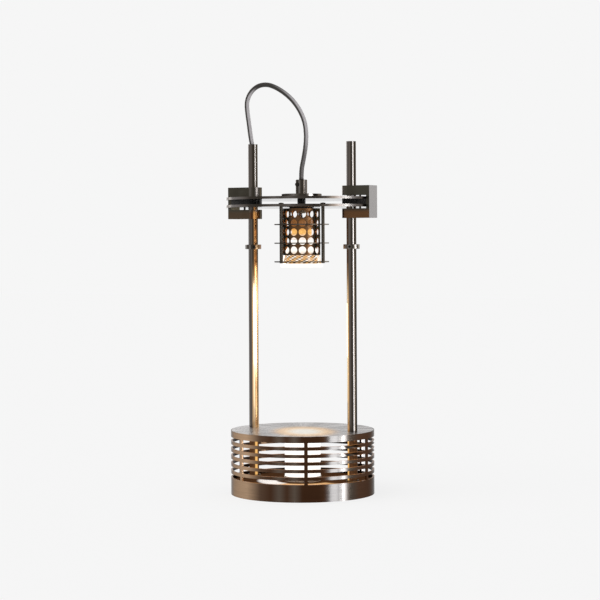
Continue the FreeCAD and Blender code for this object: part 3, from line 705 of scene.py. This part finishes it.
discBands = [                 # azimuth and tone of painted reflections, from the back round by the left, front and right
    (-180, "light"), (-130, "end"), (-95, "light"), (-47, "light"), (-41, "end"), (-31, "pale"),
    (-21, "light"), (-14, "dark"), (-5, "black"), (2, "soft"), (7, "light"), (13, "soft"), (18, "light"),
    (24, "soft"), (31, "dark"), (39, "black"), (44, "soft"), (52, "soft"), (55, "light"), (58, "pale"),
    (61, "shine"), (64, "shine"), (69, "pale"), (73, "light"), (79, "soft"), (100, "dark"), (130, "end"),
    (180, "light"),
]


def discFinish(setup, bands):
    # turned disc: rim in upright bands of painted reflection, and pale faces with fine rings
    material, root = newFinish("turnedDisc")
    across, deep, up = places(root)
    radius = fromAxis(across, deep)
    rings = root.grain(root.vector(radius * setup["rings"], across * 20, deep * 20), 1.0)
    lines = root.grain(root.vector(across * 20, deep * 20, up * setup["linesUp"]), 1.0)
    rim = radius.ease(*setup["rim"])
    fine = rings * (1 - rim) + lines * rim
    colour = rim.tint(setup["face"], roundTones(root, across, deep, bands, setup))
    return closeFinish(material, root, metal(0.4) | {
        "Base Color": fine.spread(0.92, 1.08).times(colour),
        "Roughness": fine.spread(0.18, 0.24) * rim.ease(0.0, 1.0, 0.3, 1.0),
        "Normal": bumped(root, fine, setup["bump"]),
    })


cageSetup = {
    # dark plating, then tones of the painted warm light outside and inside
    "dark": tone(44, 41, 35),
    "brown": tone(104, 74, 48),
    "inside": tone(150, 98, 52),
    "wall": (0.0212, 0.0219),          # distance from the axis in metres
    "brownFades": (12, 48),            # degrees from each place's middle
    "grain": 300.0,           # per metre
}


def cageFinish(setup):
    # dark plated can, browner with painted warm light in three places round it, one towards the view, and
    # brown inside with painted lamp light
    material, root = newFinish("cageSteel")
    across, deep, up = places(root)
    radius = fromAxis(across, deep)
    thirds = [towards(across, deep, radius, viewAzimuth + 120 * k) for k in range(3)]
    first, second, third = [bandAt(cosine, *setup["brownFades"]) for cosine in thirds]
    paintedLeakedLight = (first + second + third) * 0.8
    grain = root.grain(root.vector(across, deep, up), setup["grain"], detail=3.0)
    colour = paintedLeakedLight.tint(setup["dark"], setup["brown"])
    # painted lamp light on the inside of the wall
    colour = radius.fall(*setup["wall"]).tint(colour, setup["inside"])
    return closeFinish(material, root, metal(0.4) | {
        "Base Color": grain.spread(0.85, 1.15).times(colour),
        "Roughness": grain.spread(0.28, 0.42),
        "Normal": bumped(root, grain, fineBump),
    })


turnedTones = {
    # tones of painted reflections, with cream, gold and brown for painted lamp light
    "black": tone(38, 34, 30),
    "dark": tone(56, 51, 45),
    "mid": tone(84, 79, 72),
    "light": tone(112, 107, 103),
    "pale": tone(146, 142, 139),
    "cream": tone(255, 228, 190),
    "gold": tone(190, 150, 108),
    "brown": tone(92, 73, 59),
    "flat": tone(98, 92, 86),
    "shine": tone(222, 220, 218),
}

# azimuth of the surface's own direction and tone of its painted reflections, on the collars with painted
# warm lamp light, from the back round by the left, front and right
rodBands = [
    (-180, "mid"), (-120, "dark"), (-60, "mid"), (-25, "dark"), (5, "dark"), (25, "mid"), (40, "dark"),
    (54, "dark"), (72, "dark"), (100, "mid"), (140, "dark"), (180, "mid"),
]
gripBands = [
    (-180, "mid"), (-120, "light"), (-60, "light"), (-30, "dark"), (-6, "dark"), (5, "light"), (14, "mid"),
    (24, "dark"), (36, "dark"), (44, "black"), (52, "dark"), (57, "light"), (65, "pale"), (71, "light"),
    (77, "dark"), (90, "dark"), (110, "mid"), (140, "dark"), (180, "mid"),
]
nutBands = [
    (-180, "mid"), (-120, "light"), (-60, "light"), (-40, "dark"), (-20, "dark"), (-6, "mid"), (5, "light"),
    (14, "mid"), (24, "dark"), (40, "dark"), (48, "light"), (55, "shine"), (61, "shine"), (65.5, "dark"),
    (72, "black"), (84, "dark"), (94, "dark"), (110, "mid"), (140, "dark"), (180, "mid"),
]
leftCollarBands = [
    (-180, "mid"), (-100, "light"), (-60, "pale"), (-32, "pale"), (-20, "mid"), (-9, "dark"), (-1, "light"),
    (7, "light"), (14, "dark"), (32, "dark"), (43, "brown"), (51, "gold"), (58, "cream"), (68, "gold"),
    (78, "brown"), (110, "brown"), (140, "mid"), (180, "mid"),
]
rightCollarBands = [
    (-180, "mid"), (-100, "brown"), (-60, "gold"), (-38, "gold"), (-24, "light"), (-13, "brown"),
    (-5, "mid"), (4, "light"), (12, "light"), (20, "mid"), (33, "dark"), (40, "mid"), (48, "mid"),
    (54, "pale"), (61, "pale"), (68, "mid"), (85, "mid"), (130, "light"), (180, "mid"),
]


def turnedFinish(name, bands, roughness):
    # turned steel: upright bands of painted reflection by the way each surface looks, one tone on level
    # faces, fine level lines
    material, root = newFinish(name)
    across, deep, up = places(root)
    normalX, normalY, normalZ = facings(root)
    colour = roundTones(root, normalX, normalY, bands, turnedTones)
    colour = (normalZ * normalZ).ease(0.6, 0.9).tint(colour, turnedTones["flat"])
    lines = root.grain(root.vector(across * 60, deep * 60, up * 400), 1.0, detail=3.0)
    return closeFinish(material, root, metal(0.5) | {
        "Base Color": lines.spread(0.93, 1.07).times(colour),
        "Roughness": lines.spread(roughness, roughness + 0.08),
    })


def matteFinish(name, dark, light, roughness, clouds, depth, glow=None):
    # moulded or fired surface: two close tones by cloud, a fine grain as bump, and where a glow is given, a
    # painted glow in the cloud's pattern
    material, root = newFinish(name)
    spot = root.vector(*places(root))
    cloud = root.grain(spot, clouds, detail=3.0)
    fine = root.grain(spot, clouds * 9)
    values = {
        "Base Color": cloud.ease(0.35, 0.65).tint(dark, light),
        "Roughness": fine.spread(roughness, roughness + 0.12),
        "Normal": bumped(root, fine, depth),
    }
    if glow:
        colour, strength = glow
        values["Emission Color"] = cloud.ease(0.2, 0.8, 0.85, 1.0).times(colour)
        values["Emission Strength"] = strength
    return closeFinish(material, root, values)


floorSetup = {
    # tones of painted shade and of painted light from the sleeve
    "brown": tone(70, 46, 28),
    "gold": tone(216, 172, 120),
    "pale": tone(240, 238, 236),
    "goldFrom": (0.0315, 0.0350),      # distances from the axis in metres
    "paleFrom": (0.028, 0.034),
    "paleTo": (0.050, 0.056),
    "paleAzimuth": -48.0,
    "paleFades": (28, 46),             # degrees from its middle
    "goldFades": (40, 60),
}


def floorFinish(setup):
    # plate inside the base: brown painted shade, gold painted light just in front of the sleeve, and a pale
    # patch of painted light to its left, all of it also a painted glow
    material, root = newFinish("floorPlate")
    across, deep, up = places(root)
    radius = fromAxis(across, deep)
    clouds = root.grain(root.vector(across, deep, up), 60.0, detail=3.0)
    gold = bandAt(towards(across, deep, radius, viewAzimuth), *setup["goldFades"])
    gold = gold * radius.ease(*setup["goldFrom"])
    pale = bandAt(towards(across, deep, radius, setup["paleAzimuth"]), *setup["paleFades"])
    pale = pale * radius.ease(*setup["paleFrom"]) * radius.fall(*setup["paleTo"])
    colour = gold.tint(setup["brown"], setup["gold"])
    colour = pale.tint(colour, setup["pale"])
    return closeFinish(material, root, {
        "Base Color": clouds.spread(0.9, 1.1).times(colour),
        "Roughness": clouds.spread(0.3, 0.4),
        "Specular IOR Level": 0.0,
        # painted glow of the same tones
        "Emission Color": clouds.spread(0.9, 1.0).times(colour),
        "Emission Strength": 0.7,
    })


# the lamp: faceted reflector, front glass, ceramic back

reflectorSetup = {
    "front": 0.26825,
    "rimRadius": 0.0250,
    "rimTop": 0.27175,
    "shoulderRadius": 0.0234,
    "shoulderLevel": 0.27275,
    "waistRadius": 0.0206,
    "waistLevel": 0.28245,
    "neckRadius": 0.0120,
    "neckTop": 0.30025,
    "facetsAround": 48,
    "facetRows": 19,
    "wall": 0.0012,
    "edge": 0.0004,           # bevel of the rim
    "seatDepth": 0.0022,
    "pole": 0.0001,           # radius at which the closed neck ends
    "white": (1.0, 0.97, 0.90, 1.0),
    "gold": tone(224, 168, 96),
    "brown": tone(66, 46, 28),
    "base": tone(90, 68, 44),
    "whiteAbove": (0.2800, 0.2890),    # heights in metres
    "whiteRim": (0.2721, 0.2729),
}


def reflectorProfile(height, setup):
    # radius at a height: the parabola through the shoulder, the waist and the neck
    levels = [setup["shoulderLevel"], setup["waistLevel"], setup["neckTop"]]
    radii = [setup["shoulderRadius"], setup["waistRadius"], setup["neckRadius"]]
    return np.polyval(np.polyfit(levels, radii, 2), height)


def facetedSide(setup, inset):
    # facets in offset rows: each corner sits on the profile, every other row turned by half a facet
    rows = setup["facetRows"] + 1
    around = setup["facetsAround"]
    height = np.linspace(setup["shoulderLevel"], setup["neckTop"] - inset, rows)
    radius = reflectorProfile(height, setup) - inset
    angle = anglesRound(around)[None, :] + ((np.arange(rows) % 2) * np.pi / around)[:, None]
    level = np.broadcast_to(height[:, None], angle.shape)
    return np.stack([radius[:, None] * np.cos(angle), radius[:, None] * np.sin(angle), level], axis=-1)


def reflectorMesh(setup):
    # one shell: outside facets, rim band, seat for the front glass, inside facets and the closed neck
    around = setup["facetsAround"]
    turn = anglesRound(around)

    def ring(radius, level):
        height = np.full(around, level)
        return np.stack([radius * np.cos(turn), radius * np.sin(turn), height], axis=-1)[None]

    front = setup["front"]
    rim = setup["rimRadius"]
    seat = rim - setup["wall"]
    points = np.concatenate([
        ring(setup["pole"], setup["neckTop"]),
        facetedSide(setup, 0.0)[::-1],
        ring(rim, setup["rimTop"]),
        ring(rim, front + setup["edge"]),
        ring(rim - setup["edge"], front),
        ring(seat, front),
        ring(seat, front + setup["seatDepth"]),
        facetedSide(setup, setup["wall"]),
        ring(setup["pole"], setup["neckTop"] - setup["wall"]),
    ])
    mesh = gridMesh("reflector", points, smooth=False)
    row, column = np.divmod(np.arange(len(mesh.polygons)), around)
    # light and dark facets in turn, with a slow wave round and up
    shade = 0.5 + 0.32 * (-1.0) ** (row + column) + 0.18 * np.sin(1.3 * column + 2.1 * row)
    addValues(mesh, "facetShade", "FACE", shade)
    return mesh


def reflectorFinish(setup):
    # facets between brown, gold and white in turn, and the upper half and the rim are whitest
    material, root = newFinish("facetedGlass")
    up = places(root)[2]
    shade = root.attribute("facetShade")
    colour = shade.ease(0.15, 0.5).tint(setup["brown"], setup["gold"])
    colour = (shade.ease(0.75, 1.0) * 0.8).tint(colour, setup["white"])
    colour = (up.ease(*setup["whiteAbove"]) + up.fall(*setup["whiteRim"])).tint(colour, setup["white"])
    return closeFinish(material, root, {
        "Base Color": setup["base"],
        "Roughness": shade.ease(0.0, 1.0, 0.08, 0.2),
        "Coat Weight": 0.3,
        "Coat Roughness": 0.05,
        "Emission Color": colour,
        "Emission Strength": 1.1,
    })


lampBaseSetup = {
    "white": (1.0, 0.98, 0.93, 1.0),
    "gold": tone(250, 196, 112),
    "amber": tone(196, 132, 62),
    "whiteUpTo": (0.3025, 0.3085),     # heights in metres
    "amberFrom": (0.3105, 0.3170),
    "bump": 0.00002,          # metres that the grain stands out
}


def lampBaseFinish(setup):
    # ceramic back of the lamp with a painted glow: lit white at the reflector, gold above it and amber at
    # the holder
    material, root = newFinish("lampCeramic")
    across, deep, up = places(root)
    speckle = root.grain(root.vector(across, deep, up), 420.0, detail=3.0)
    colour = up.ease(*setup["amberFrom"]).tint(setup["gold"], setup["amber"])
    colour = up.fall(*setup["whiteUpTo"]).tint(colour, setup["white"])
    return closeFinish(material, root, {
        "Base Color": setup["amber"],
        "Roughness": speckle.spread(0.4, 0.5),
        "Specular IOR Level": 0.2,
        "Emission Color": speckle.spread(0.72, 1.05).times(colour),
        "Emission Strength": 0.9,
        "Normal": bumped(root, speckle, setup["bump"]),
    })


def glowFinish(name, middle, edge, reach, strength, roughness):
    # lit glass: one colour in the middle, another from its reach on, and between them from 0.6 of its reach,
    # with a faint mottling
    material, root = newFinish(name)
    across, deep, up = places(root)
    mottling = root.grain(root.vector(across, deep, up), 160.0, detail=3.0)
    colour = fromAxis(across, deep).ease(reach * 0.6, reach).tint(middle, edge)
    return closeFinish(material, root, {
        "Base Color": tone(235, 230, 222),
        "Roughness": mottling.spread(roughness, roughness + 0.1),
        "Coat Weight": 0.5,
        "Coat Roughness": 0.08,
        "Emission Color": mottling.ease(0.2, 0.8, 0.96, 1.0).times(colour),
        "Emission Strength": strength,
    })


reflector = addPiece("lampReflectorGlass", reflectorMesh(reflectorSetup), reflectorFinish(reflectorSetup))
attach(reflector, "lamp")
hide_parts("lamp_reflector")
print("reflector made:", len(reflector.data.polygons), "facets")


# each finish and the nodes that wear it

finishes = [
    (drumFinish(drumSetup, drumBands), ["base_drum"]),
    (plateFinish(plateSetup), ["top_plate"]),
    (floorFinish(floorSetup), ["floor_plate"]),
    (postFinish("postLeft", postSides["postLeft"], postSetup), ["post_left"]),
    (postFinish("postRight", postSides["postRight"], postSetup), ["post_right"]),
    (turnedFinish("leftCollar", leftCollarBands, roughness=0.16), ["collar_left"]),
    (turnedFinish("rightCollar", rightCollarBands, roughness=0.16), ["collar_right"]),
    (blockFinish("left", blockSetup, outward=-1.0, paintedWarmLight=0.35), ["clamp_block_left"]),
    (blockFinish("right", blockSetup, outward=1.0, paintedWarmLight=1.0), ["clamp_block_right"]),
    (discFinish(discSetup, discBands), ["upper_disc", "lower_disc"]),
    (turnedFinish("turnedNut", nutBands, roughness=0.14), ["grip_nut"]),
    (turnedFinish("turnedGrip", gripBands, roughness=0.14), ["cord_grip"]),
    (turnedFinish("turnedRods", rodBands, roughness=0.2),
     ["cage_rods", "rod_nuts", "fin_upper", "fin_middle", "fin_lower"]),
    (cageFinish(cageSetup), ["cage_tube"]),
    (lampBaseFinish(lampBaseSetup), ["lamp_base"]),
    (steelFinish("zincSheet", tone(96, 84, 70), tone(138, 124, 106), roughness=0.3, streaks=60.0),
     ["bottom_cover", "cover_screws", "post_nuts", "threaded_nipple", "nipple_nut", "holder_bracket",
      "bracket_screws"]),
    (steelFinish("blackScrew", tone(30, 27, 24), tone(52, 48, 43), roughness=0.25),
     ["collar_screw_left", "collar_screw_right", "clamp_screws", "block_grub_screws", "grip_screw"]),
    (steelFinish("headSteel", tone(60, 55, 48), tone(92, 87, 81), roughness=0.2), ["disc_screws"]),
    (steelFinish("brass", tone(150, 112, 60), tone(190, 148, 86), roughness=0.22),
     ["cover_standoffs", "lamp_pins"]),
    (matteFinish("blackNylon", tone(17, 13, 10), tone(28, 22, 17), roughness=0.45, clouds=220.0,
                 depth=0.00003),
     ["inlet_bushing", "spacer_pad_left", "spacer_pad_right", "centre_spacer", "cage_washer"]),
    (matteFinish("footRubber", tone(24, 23, 22), tone(36, 34, 33), roughness=0.7, clouds=300.0,
                 depth=0.00005),
     ["rubber_feet"]),
    (matteFinish("ceramic", tone(214, 204, 188), tone(232, 224, 210), roughness=0.4, clouds=150.0,
                 depth=0.00002),
     ["base_lamp_holder"]),
    # the lamp's holder: its warm tones and glow are painted lamp light
    (matteFinish("lampLitCeramic", tone(136, 92, 50), tone(170, 118, 66), roughness=0.4, clouds=150.0,
                 depth=0.00002, glow=(tone(160, 104, 50), 0.45)),
     ["lamp_holder"]),
    (matteFinish("terminalPlastic", tone(208, 202, 190), tone(222, 216, 206), roughness=0.35, clouds=200.0,
                 depth=0.00002),
     ["terminal_block"]),
    (matteFinish("wireSheath", tone(64, 60, 54), tone(82, 77, 70), roughness=0.4, clouds=260.0,
                 depth=0.00003),
     ["base_leads", "post_cable", "head_cable", "holder_leads"]),
    (glowFinish("frontGlass", (1.0, 0.985, 0.95, 1.0), (1.0, 0.93, 0.80, 1.0), reach=0.0233, strength=1.5,
                roughness=0.15),
     ["lamp_lens"]),
    (glowFinish("frostedSleeve", (1.0, 0.99, 0.97, 1.0), (1.0, 0.99, 0.97, 1.0), reach=0.05, strength=1.08,
                roughness=0.4),
     ["base_diffuser"]),
    (glowFinish("bulbGlass", (1.0, 0.96, 0.86, 1.0), (1.0, 0.94, 0.80, 1.0), reach=0.009, strength=3.0,
                roughness=0.1),
     ["base_bulb"]),
]
for material, names in finishes:
    for name in names:
        nodes[name].data.materials.clear()
        nodes[name].data.materials.append(material)
print("finishes made:", len(finishes))


# floor, world and lights

stageSetup = {
    "pale": tone(246, 246, 246),
    "floorSize": 14.0,
    "plain": 0.86,            # share of the floor that is plain to the eye, the rest takes the shadow
    "fill": 0.72,             # level of the light that spreads from all round
    "sunStrength": 0.95,
    "sunWidth": 50,           # degrees, for a soft shadow
    "sunTilt": (24, -16, 0),
}


def viewRays(root):
    # 1 for rays that the eye, a mirror or a glass sees, 0 for light that spreads
    path = root.node("ShaderNodeLightPath", None, None, "Is Camera Ray")
    seen = path + path.out("Is Glossy Ray") + path.out("Is Transmission Ray")
    return seen.maths("MINIMUM", seen, 1.0)


def makeFloor(setup):
    half = setup["floorSize"] / 2
    corners = np.array([[(-half, -half, 0.0), (half, -half, 0.0)], [(-half, half, 0.0), (half, half, 0.0)]])
    mesh = gridMesh("floor", corners, closedAround=False)
    material, root = newFinish("paleFloor")
    rough = root.node("ShaderNodeBsdfDiffuse", None, {"Color": setup["pale"]})
    plain = root.node("ShaderNodeEmission", None, {"Color": setup["pale"], "Strength": 1.0})
    share = viewRays(root) * setup["plain"]
    mixed = root.node("ShaderNodeMixShader", None, {0: share, 1: rough, 2: plain})
    closeTree(root, "ShaderNodeOutputMaterial", mixed)
    floor = bpy.data.objects.new("floor", mesh)
    mesh.materials.append(material)
    floor.visible_glossy = False    # metal sees the same pale colour in the world
    scene.collection.objects.link(floor)


def makeWorld(setup):
    world = bpy.data.worlds.new("studio")
    scene.world = world
    world.use_nodes = True
    world.node_tree.nodes.clear()
    root = Shade(world.node_tree)
    seen = root.node("ShaderNodeBackground", None, {"Color": setup["pale"], "Strength": 1.0})
    fill = root.node("ShaderNodeBackground", None, {"Color": (1, 1, 1, 1), "Strength": setup["fill"]})
    mixed = root.node("ShaderNodeMixShader", None, {0: viewRays(root), 1: fill, 2: seen})
    closeTree(root, "ShaderNodeOutputWorld", mixed)


wattsPerArea = 4              # for a brightness of 1


def addGlossLight(name, width, height, brightness, colour):
    # lit rectangle that shows only in gloss; its watts grow with its brightness and its area
    light = bpy.data.lights.new(name, "AREA")
    light.shape = "RECTANGLE"
    light.size = width
    light.size_y = height
    light.energy = brightness * wattsPerArea * width * height
    light.color = colour
    piece = bpy.data.objects.new(name, light)
    piece.visible_camera = False
    piece.visible_diffuse = False
    piece.visible_transmission = False
    scene.collection.objects.link(piece)
    return piece


softboxes = [                 # name, azimuth, distance, middle height, width, height, brightness, colour
    ("stripCore", 97.0, 1.5, -0.55, 0.24, 1.6, 12.0, (1.0, 0.99, 0.98)),
    ("stripWing", 78.5, 1.5, 0.30, 0.46, 2.4, 4.4, (1.0, 0.99, 0.98)),
    ("backLeft", -125.0, 1.8, 0.95, 1.3, 1.2, 2.5, (1.0, 0.99, 0.98)),
    ("backRight", 152.5, 1.8, 0.85, 1.2, 1.4, 2.6, (1.0, 0.98, 0.96)),
]


def makeSoftbox(name, azimuth, distance, level, *looks):
    # faces the lamp's axis
    east, north = compass(azimuth)
    box = addGlossLight(name, *looks)
    box.location = (east * distance, north * distance, level)
    box.rotation_euler = Vector((east, north, 0.0)).to_track_quat("Z", "Y").to_euler()


# upright strips under the lamp, for its warm light on the posts
glowAcross = 0.03             # metres to each side of the middle
lampGlow = [                  # side, middle depth and height, width, height, brightness, colour
    (-1, -0.070, 0.197, 0.120, 0.100, 1.0, (1.0, 0.94, 0.84)),
    (-1, -0.070, 0.121, 0.120, 0.052, 0.35, (1.0, 0.90, 0.72)),
    (1, 0.012, 0.193, 0.036, 0.064, 1.7, (1.0, 0.94, 0.82)),
    (1, 0.012, 0.134, 0.036, 0.054, 0.35, (1.0, 0.90, 0.72)),
]


def makeGlow(side, depth, level, *looks):
    # faces the post on its side
    strip = addGlossLight("glow", *looks)
    strip.location = (glowAcross * side, depth, level)
    strip.rotation_euler = (math.radians(90), 0.0, math.radians(-90 * side))


def makeSun(setup):
    # soft overhead light for the floor's shadow
    light = bpy.data.lights.new("overhead", "SUN")
    light.energy = setup["sunStrength"]
    light.angle = math.radians(setup["sunWidth"])
    sun = bpy.data.objects.new("overhead", light)
    sun.rotation_euler = [math.radians(tilt) for tilt in setup["sunTilt"]]
    sun.visible_glossy = False
    scene.collection.objects.link(sun)


makeFloor(stageSetup)
makeWorld(stageSetup)
for row in softboxes:
    makeSoftbox(*row)
for row in lampGlow:
    makeGlow(*row)
makeSun(stageSetup)
print("floor and lights made")
